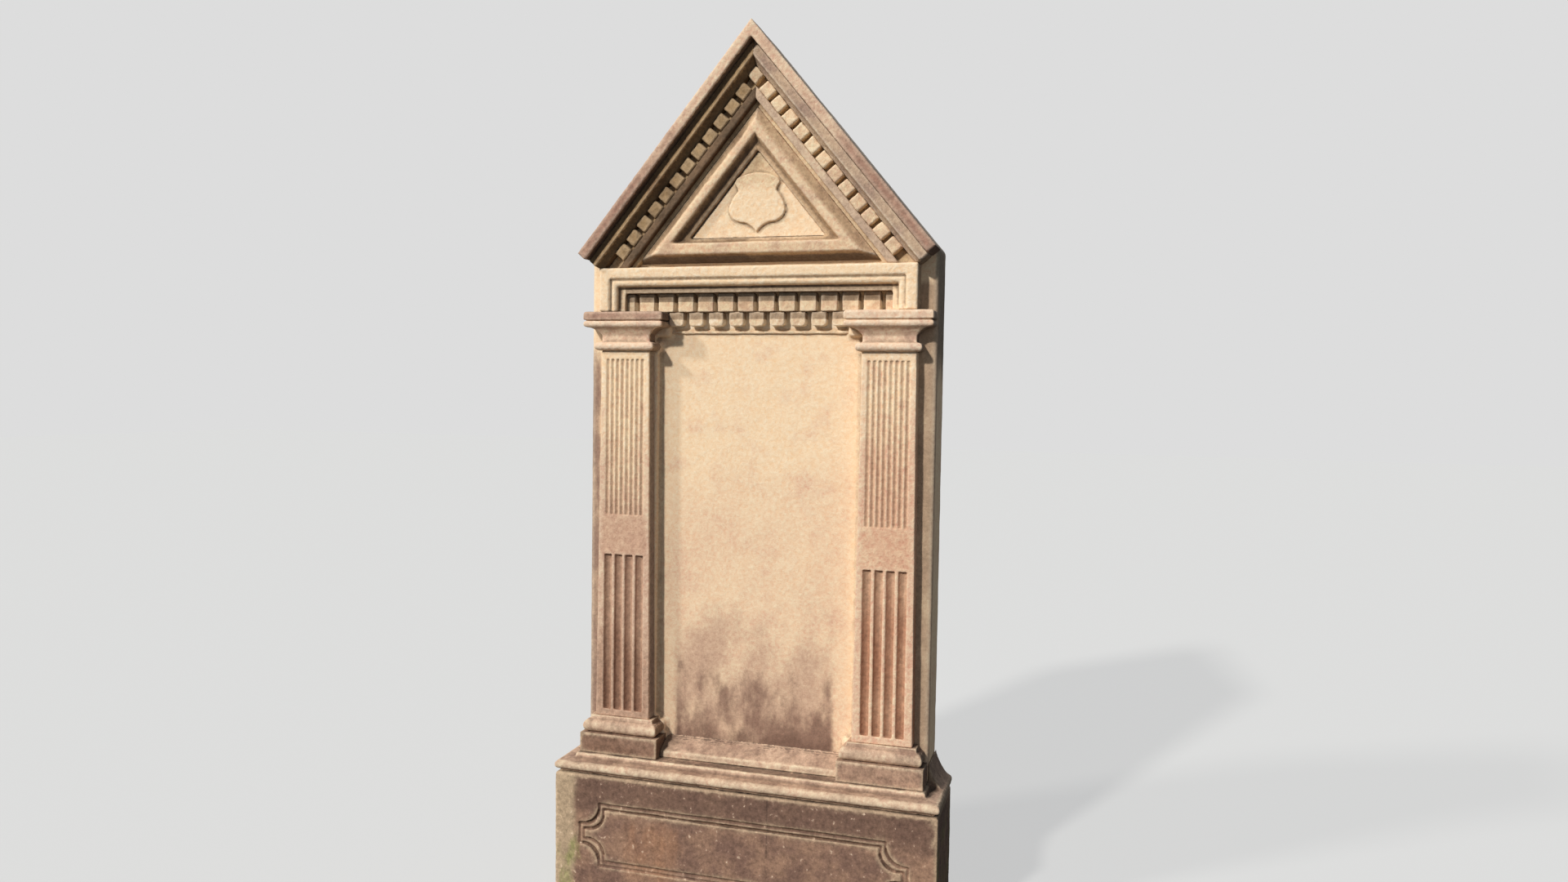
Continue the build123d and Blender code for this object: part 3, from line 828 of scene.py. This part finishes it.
@dataclass
class PaintedShadows:
    """Light from the upper left, whose shadows are painted into the stone's colour as shade.

    Lengths are millimetres. Each light way is the way that the light travels
    for one length into the stone, with its weight.
    """

    light_ways: tuple[tuple[Triple, float], ...] = (
        ((0.43, 1.0, -0.66), 0.22),
        ((0.3, 1.0, -0.5), 0.12),
        ((0.6, 1.0, -0.85), 0.16),
        ((0.95, 1.0, -0.9), 0.12),
        ((1.3, 1.0, -1.1), 0.1),
        ((0.1, 1.0, -0.95), 0.08),
        ((0.8, 1.0, -0.2), 0.08),
        ((-0.25, 1.0, -0.7), 0.06),
        ((0.0, 1.0, -0.2), 0.06),
    )
    cell: float = 3.0
    steps: tuple[float, ...] = (2, 4, 7, 10, 14, 19, 25, 32, 40, 50, 62, 76)
    skin: float = 1.5
    # Clear distance in front of the stone and behind it, in metres
    clear: float = 1.0
    # How far a face turns to the back where the front's light has no say
    back_turn: float = 0.3
    low: Optional[Vector] = None
    depth: Optional[np.ndarray] = None

    def survey(self) -> None:
        """Casts a ray at the front of the frame in each cell, and keeps how deep it goes."""
        points: list[Triple] = []
        faces: list[list[int]] = []
        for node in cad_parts.values():
            first = len(points)
            points.extend(tuple(vertex.co) for vertex in node.data.vertices)
            for polygon in node.data.polygons:
                faces.append([first + corner for corner in polygon.vertices])
        front = BVHTree.FromPolygons(points, faces)
        self.low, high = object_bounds()
        columns = np.arange(self.low.x, high.x, self.cell * MM)
        rows = np.arange(self.low.z, high.z, self.cell * MM)
        ahead = Vector((0, 1, 0))
        self.depth = np.full((len(rows), len(columns)), high.y + self.clear)
        for row, level in enumerate(rows):
            for column, across in enumerate(columns):
                start = Vector((across, self.low.y - self.clear, level))
                place = front.ray_cast(start, ahead)[0]
                if place is not None:
                    self.depth[row, column] = place.y

    def shaded_share(self, places: np.ndarray, normals: np.ndarray) -> np.ndarray:
        """Finds how much of the light each point is shaded from, for the painted shade.

        Args:
            places: Points on the stone, in metres.
            normals: Their normals.

        Returns:
            A share for each point, from 0 in full light to 1 where no light comes.
        """
        start = places + normals * self.skin * MM
        rows, columns = self.depth.shape
        total = np.zeros(len(places))
        for travel, weight in self.light_ways:
            blocked = np.zeros(len(places), dtype=bool)
            for step in self.steps:
                spot = start - np.array(travel) * step * MM
                column = np.floor((spot[:, 0] - self.low.x) / (self.cell * MM)).astype(int)
                row = np.floor((spot[:, 2] - self.low.z) / (self.cell * MM)).astype(int)
                inside = (column >= 0) & (column < columns) & (row >= 0) & (row < rows)
                face = self.depth[row.clip(0, rows - 1), column.clip(0, columns - 1)]
                blocked |= inside & (face < spot[:, 1] - self.skin * MM)
            total += weight * blocked
        return np.where(normals[:, 1] > self.back_turn, 0, total)


@dataclass
class Carving:
    """One carved member of the stone, worn down from the crisp solids of the frame."""

    name: str
    nodes: tuple[str, ...]
    slot: Slot
    finish: Sandstone
    wear: Wear
    # A carved member runs on into the stone behind it, in millimetres
    bed: float = 6.0
    # Closest that two points of a copy stay apart, and how flat its back is
    weld: float = 0.01
    flat: float = 0.1
    stone: Optional[bpy.types.Object] = None

    def build(self, painted_shadows: PaintedShadows) -> None:
        """Makes the worn mesh of the member.

        Args:
            painted_shadows: Shadows of the light, painted into the colour as shade.
        """
        self.block_out()
        self.run_into_bed()
        self.wear_down()
        self.mark_hollows()
        self.mark_painted_shadows(painted_shadows)

    def block_out(self) -> None:
        """Copies the frame's nodes, closes each copy's seams and joins the copies."""
        copies = []
        for node in self.nodes:
            copy = bpy.data.objects.new(self.name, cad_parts[node].data.copy())
            bpy.context.scene.collection.objects.link(copy)
            alone(copy)
            bpy.ops.object.mode_set(mode="EDIT")
            bpy.ops.mesh.select_all(action="SELECT")
            bpy.ops.mesh.remove_doubles(threshold=self.weld * MM)
            bpy.ops.object.mode_set(mode="OBJECT")
            copies.append(copy)
        alone(copies[0])
        for copy in copies:
            copy.select_set(True)
        if len(copies) > 1:
            bpy.ops.object.join()
        self.stone = copies[0]
        self.stone.name = self.name
        self.stone.data.name = self.name
        self.stone.data.materials.clear()

    def run_into_bed(self) -> None:
        """Pushes the back of the member into what it is carved from, so that no joint shows."""
        if self.bed == 0:
            return
        mesh = self.stone.data
        depth = self.surface()[0][:, 1]
        bpy.context.tool_settings.mesh_select_mode = (True, False, False)
        alone(self.stone)
        bpy.ops.object.mode_set(mode="EDIT")
        bpy.ops.mesh.select_all(action="DESELECT")
        bpy.ops.object.mode_set(mode="OBJECT")
        mesh.vertices.foreach_set("select", depth > depth.max() - self.flat * MM)
        bpy.ops.object.mode_set(mode="EDIT")
        bpy.ops.transform.translate(value=(0, self.bed * MM, 0))
        bpy.ops.object.mode_set(mode="OBJECT")

    def wear_down(self) -> None:
        """Rounds the arrises, roughens the faces and thins the mesh again."""
        wear = self.wear
        finish_with(self.stone, "REMESH", {"mode": "VOXEL", "voxel_size": wear.voxel * MM})
        finish_with(self.stone, "SMOOTH", {"factor": 0.5, "iterations": wear.soften})
        for height, size in ((wear.ripple, wear.ripple_size), (wear.grit, wear.grit_size)):
            lumps = {"texture": roughness_pattern(size), "texture_coords": "LOCAL"}
            finish_with(self.stone, "DISPLACE", {"strength": height * MM, **lumps})
        finish_with(self.stone, "DECIMATE", {"ratio": wear.kept_share})
        bpy.ops.object.shade_smooth()

    def mark_hollows(self, reach: float = 9.0, depth: float = 2.5) -> None:
        """Stores how far each point lies in a hollow, from 0 on an arris to 1 in a corner.

        Args:
            reach: Width in millimetres over which a hollow is felt.
            depth: Height in millimetres that counts as a full hollow or arris.
        """
        places, normals = self.surface()
        level = self.evened(places, round((reach / self.wear.voxel) ** 2))
        height = ((level - places) * normals).sum(1)
        hollow = self.stone.data.attributes.new(HOLLOW, "FLOAT", "POINT")
        hollow.data.foreach_set("value", np.clip(0.5 + height / (2 * depth * MM), 0, 1))

    def surface(self) -> tuple[np.ndarray, np.ndarray]:
        """Reads the points of the worn mesh and their normals.

        Returns:
            A row for each point, and a row for each normal.
        """
        points = self.stone.data.vertices
        places, normals = np.empty(len(points) * 3), np.empty(len(points) * 3)
        points.foreach_get("co", places)
        points.foreach_get("normal", normals)
        return places.reshape(-1, 3), normals.reshape(-1, 3)

    def evened(self, places: np.ndarray, rounds: int) -> np.ndarray:
        """Evens the surface out, each point to the middle of its neighbours.

        Args:
            places: Points of the mesh, in metres.
            rounds: How often each point is moved.

        Returns:
            Where the points end up.
        """
        edges = self.stone.data.edges
        ends = np.empty(len(edges) * 2, dtype=np.int64)
        edges.foreach_get("vertices", ends)
        one, other = ends.reshape(-1, 2).T
        count = np.bincount(ends, minlength=len(places))[:, None]
        level = places
        for _ in range(rounds):
            total = np.zeros_like(places)
            for axis in range(3):
                total[:, axis] += np.bincount(one, level[other, axis], len(places))
                total[:, axis] += np.bincount(other, level[one, axis], len(places))
            level = total / np.maximum(count, 1)
        return level

    def mark_painted_shadows(self, painted_shadows: PaintedShadows) -> None:
        """Stores how far each point is shaded from the light, for the painted shade.

        Args:
            painted_shadows: Shadows of the light, painted into the colour as shade.
        """
        shaded_share = self.stone.data.attributes.new(SHADED_SHARE, "FLOAT", "POINT")
        shaded_share.data.foreach_set("value", painted_shadows.shaded_share(*self.surface()))

    def dress(self) -> None:
        """Gives the member its finish and its place in the frame."""
        self.stone.data.materials.append(self.finish.material())
        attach(self.stone, BODY)
        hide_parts(*self.nodes)


@dataclass
class Assembly:
    """A group of carved members that are cut in one block."""

    carvings: list[Carving] = field(default_factory=list)

    def build(self, painted_shadows: PaintedShadows) -> None:
        """Builds the mesh of each member.

        Args:
            painted_shadows: Shadows of the light, painted into the colour as shade.
        """
        for carving in self.carvings:
            carving.build(painted_shadows)

    def dress(self) -> None:
        """Dresses each member and reports it."""
        for carving in self.carvings:
            carving.dress()
            mesh = carving.stone.data
            mesh.calc_loop_triangles()
            log.info("%s: %d triangles", carving.name, len(mesh.loop_triangles))


@dataclass
class Base(Assembly):
    """The base block: its die with the notched panel, and its moulded top."""

    die_voxel: float = 2.3
    moulding_voxel: float = 2.6

    def __post_init__(self) -> None:
        """Lists the members of the base."""
        self.carvings = [
            Carving(
                "die_stone",
                ("base_die", "base_panel_bead"),
                Slot.BASE,
                DAMP,
                Wear(voxel=self.die_voxel, soften=2, ripple=3.0, ripple_size=80.0, kept_share=0.34),
                bed=0,
            ),
            Carving(
                "moulded_top_stone",
                ("base_torus", "base_fillet", "left_base_wash", "right_base_wash"),
                Slot.BASE,
                RINSED,
                Wear(voxel=self.moulding_voxel, kept_share=0.5),
                bed=0,
            ),
        ]


@dataclass
class Tablet(Assembly):
    """The gabled slab with its sunk inscription panel, and the sill under it."""

    slab_voxel: float = 5.4
    sill_voxel: float = 2.5

    def __post_init__(self) -> None:
        """Lists the members of the tablet."""
        self.carvings = [
            Carving(
                "slab_stone",
                ("slab",),
                Slot.TABLET,
                RUBBED,
                Wear(voxel=self.slab_voxel, soften=1, ripple=1.2, grit=0.5, kept_share=0.6),
                bed=0,
            ),
            Carving(
                "sill_stone",
                ("panel_sill",),
                Slot.TABLET,
                RINSED,
                Wear(voxel=self.sill_voxel),
            ),
        ]


@dataclass
class Pilaster(Assembly):
    """One pilaster: pedestal, fluted shaft and capital."""

    side: Side = Side.LEFT
    shaft_voxel: float = 1.8
    moulding_voxel: float = 2.0

    def __post_init__(self) -> None:
        """Lists the members of the pilaster."""
        side = self.side.value
        moulded = Wear(voxel=self.moulding_voxel, soften=2)
        self.carvings = [
            Carving(f"{side}_plinth_stone", (f"{side}_plinth",), Slot.TABLET, PLINTH, moulded),
            Carving(
                f"{side}_shaft_base_stone",
                (f"{side}_shaft_base",),
                Slot.TABLET,
                RINSED,
                moulded,
            ),
            Carving(
                f"{side}_shaft_stone",
                (f"{side}_shaft",),
                Slot.TABLET,
                FLUTED[self.side],
                Wear(voxel=self.shaft_voxel, soften=1, ripple=1.0, grit=0.5, kept_share=0.42),
            ),
            Carving(
                f"{side}_capital_stone",
                (f"{side}_necking", f"{side}_echinus"),
                Slot.TABLET,
                CAPITAL,
                moulded,
            ),
            Carving(
                f"{side}_abacus_stone",
                (f"{side}_abacus",),
                Slot.TABLET,
                FASCIA if self.side is Side.LEFT else CAPITAL,
                moulded,
            ),
        ]


@dataclass
class Entablature(Assembly):
    """The stepped frame over the capitals and the two rows of dentils in it."""

    frame_voxel: float = 2.4
    dentil_voxel: float = 2.0

    def __post_init__(self) -> None:
        """Lists the members of the entablature."""
        moulded = Wear(voxel=self.frame_voxel, soften=2)
        toothed = Wear(voxel=self.dentil_voxel, soften=7, ripple=3.0, ripple_size=22.0)
        self.carvings = [
            Carving(
                "entablature_frame_stone",
                ("entablature_frame", "entablature_bead", "entablature_fascia"),
                Slot.TABLET,
                FRAMED,
                moulded,
            ),
            Carving("upper_dentil_stones", ("upper_dentils",), Slot.TABLET, TOOTHED, toothed),
            Carving(
                "lower_dentil_stones",
                ("lower_dentils", "dentil_fillet"),
                Slot.TABLET,
                TOOTHED,
                toothed,
            ),
        ]


@dataclass
class Pediment(Assembly):
    """The raking cornice, its dentils, and the tympanum with the shield."""

    cornice_voxel: float = 2.5
    dentil_voxel: float = 2.0

    def __post_init__(self) -> None:
        """Lists the members of the pediment."""
        moulded = Wear(voxel=self.cornice_voxel)
        toothed = Wear(voxel=self.dentil_voxel, soften=6, ripple=3.0, ripple_size=22.0)
        sides = [side.value for side in Side]
        self.carvings = [
            Carving(
                "corona_stone",
                tuple(f"{side}_corona" for side in sides),
                Slot.PEDIMENT,
                FASCIA,
                moulded,
            ),
            Carving("pediment_wall_stone", ("pediment_wall",), Slot.PEDIMENT, SHELTERED, moulded),
            *(carving for side in Side for carving in self.slope(side, moulded, toothed)),
            Carving(
                "tympanum_frame_stone",
                ("tympanum_frame", "tympanum_bead"),
                Slot.PEDIMENT,
                WASHED,
                moulded,
            ),
            Carving(
                "tympanum_field_stone",
                ("tympanum_field", "shield"),
                Slot.PEDIMENT,
                FIELD,
                Wear(voxel=self.dentil_voxel, soften=2, ripple=1.0),
            ),
        ]

    @staticmethod
    def slope(side: Side, moulded: Wear, toothed: Wear) -> list[Carving]:
        """Lists the members under the corona on one slope.

        Args:
            side: Which slope.
            moulded: Wear of the mouldings.
            toothed: Wear of the dentils.

        Returns:
            The moulding, the dentils and the fillet that they stand on.
        """
        name = side.value
        moulding, teeth, bed = (SLOPE_IN_PAINTED_SHADE, TOOTHED_IN_SHADE, SLOPE_IN_DEEPEST_PAINTED_SHADE)
        if side is Side.RIGHT:
            moulding, teeth, bed = (SCOURED, TOOTHED, STREAKED)
        dentils = [f"{name}_raking_dentils"]
        if side is Side.RIGHT:
            dentils.append("apex_dentil")
        return [
            Carving(
                f"{name}_raking_moulding_stone",
                (f"{name}_raking_cyma", f"{name}_raking_fillet"),
                Slot.PEDIMENT,
                moulding,
                moulded,
            ),
            Carving(f"{name}_raking_dentil_stones", tuple(dentils), Slot.PEDIMENT, teeth, toothed),
            Carving(f"{name}_bed_stone", (f"{name}_bed_fillet",), Slot.PEDIMENT, bed, moulded),
        ]


@dataclass(frozen=True)
class Lamp:
    """A far lamp: where its light travels, how strong and soft it is, and its colour."""

    name: str
    travel: Triple
    strength: float
    spread: float
    colour: str = "#ffffff"

    def build(self) -> None:
        """Hangs the lamp."""
        light = bpy.data.lights.new(self.name, "SUN")
        light.energy = self.strength
        light.angle = radians(self.spread)
        light.color = linear(self.colour)[:3]
        lamp = bpy.data.objects.new(self.name, light)
        lamp.rotation_euler = Vector(self.travel).to_track_quat("-Z", "Y").to_euler()
        bpy.context.scene.collection.objects.link(lamp)


@dataclass
class Studio:
    """Pale floor and backdrop, soft lamps, and the camera where the picture was taken from."""

    # The camera's place, in metres, and its turn, in degrees
    place: Triple = (0.6853, -2.1477, 1.0812)
    yaw: float = -16.18814
    pitch: float = -2.51399
    roll: float = 0.89586
    # Field of view of 45 degrees up and down a frame of 16 by 9, on 36 mm
    lens: float = 24.444
    backdrop: str = "#dddddd"
    # The room's light is a little cool, as open shade is
    shade_colour: str = "#cbd9ea"
    floor_colour: str = "#dbd9d3"
    floor_size: float = 40.0
    # How much of the floor is lit paper, to the eye and to the stone
    shadow_share: float = 0.35
    bounce_share: float = 0.2
    sky_strength: float = 0.27
    lamps: tuple[Lamp, ...] = (
        Lamp("key_lamp", (0.43, 1.0, -0.66), 2.5, 4.0),
        Lamp("side_lamp", (1.3, 1.0, -1.1), 1.3, 6.0),
        Lamp("fill_lamp", (-0.45, 1.0, -0.25), 0.25, 40.0, "#d3e1f5"),
        Lamp("back_lamp", (0.1, -1.0, -0.5), 1.5, 30.0),
    )

    def build(self) -> None:
        """Sets up the floor, the light and the camera."""
        self.lay_floor()
        self.light_sky()
        for lamp in self.lamps:
            lamp.build()
        self.place_camera()
        bpy.context.scene.view_settings.view_transform = "Standard"

    def lay_floor(self) -> None:
        """Lays the plain floor and marks it as stage."""
        bpy.ops.object.select_all(action="DESELECT")
        bpy.ops.mesh.primitive_plane_add(size=self.floor_size)
        floor = bpy.context.active_object
        floor.name = "floor"
        paper = bpy.data.materials.new("floor_paper_matt")
        paper.use_nodes = True
        tree = paper.node_tree
        tree.nodes.clear()
        flat = add(tree, "BsdfDiffuse", {}, {"Color": linear(self.floor_colour)})
        glow = add(tree, "Emission", {}, {"Color": linear(self.backdrop), "Strength": 1.0})
        dark = add(tree, "BsdfDiffuse", {}, {"Color": (0.0, 0.0, 0.0, 1.0)})
        faint = add(tree, "MixShader", {}, {0: self.shadow_share, 1: glow, 2: flat})
        dull = add(tree, "MixShader", {}, {0: self.bounce_share, 1: dark, 2: flat})
        seen = add(tree, "LightPath", {}, {}, "Is Camera Ray")
        mixed = add(tree, "MixShader", {}, {0: seen, 1: dull, 2: faint})
        add(tree, "OutputMaterial", {}, {"Surface": mixed})
        floor.data.materials.append(paper)
        floor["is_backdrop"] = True

    def light_sky(self) -> None:
        """Gives the room its even light and its pale backdrop."""
        world = bpy.data.worlds.new("studio_room")
        bpy.context.scene.world = world
        world.use_nodes = True
        tree = world.node_tree
        tree.nodes.clear()
        seen = add(tree, "LightPath", {}, {}, "Is Camera Ray")
        even = {"Color": linear(self.shade_colour), "Strength": self.sky_strength}
        shade = add(tree, "Background", {}, even)
        glow = add(tree, "Background", {}, {"Color": linear(self.backdrop), "Strength": 1.0})
        mixed = add(tree, "MixShader", {}, {0: seen, 1: shade, 2: glow})
        add(tree, "OutputWorld", {}, {"Surface": mixed})

    def place_camera(self) -> None:
        """Places the camera by its yaw, pitch and roll."""
        yaw, pitch, roll = radians(self.yaw), radians(self.pitch), radians(self.roll)
        forward = Vector((sin(yaw) * cos(pitch), cos(yaw) * cos(pitch), sin(pitch)))
        level = Vector((cos(yaw), -sin(yaw), 0))
        upright = level.cross(forward)
        right = level * cos(roll) + upright * sin(roll)
        up = upright * cos(roll) - level * sin(roll)
        turn = Matrix((right, up, -forward)).transposed().to_4x4()
        view = bpy.data.cameras.new("camera")
        view.lens = self.lens
        camera = bpy.data.objects.new("camera", view)
        camera.matrix_world = Matrix.Translation(self.place) @ turn
        bpy.context.scene.collection.objects.link(camera)
        bpy.context.scene.camera = camera


def main() -> None:
    """Builds and dresses the stone from the ground up, then sets up the studio."""
    logging.basicConfig(level=logging.INFO, format="%(message)s")
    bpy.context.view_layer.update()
    assemblies = [
        Base(),
        Tablet(),
        *(Pilaster(side=side) for side in Side),
        Entablature(),
        Pediment(),
    ]
    # Shadows of the light, for the shade painted into the colour
    painted_shadows = PaintedShadows()
    painted_shadows.survey()
    for assembly in assemblies:
        assembly.build(painted_shadows)
        assembly.dress()
    Studio().build()


if __name__ == "__main__":
    main()
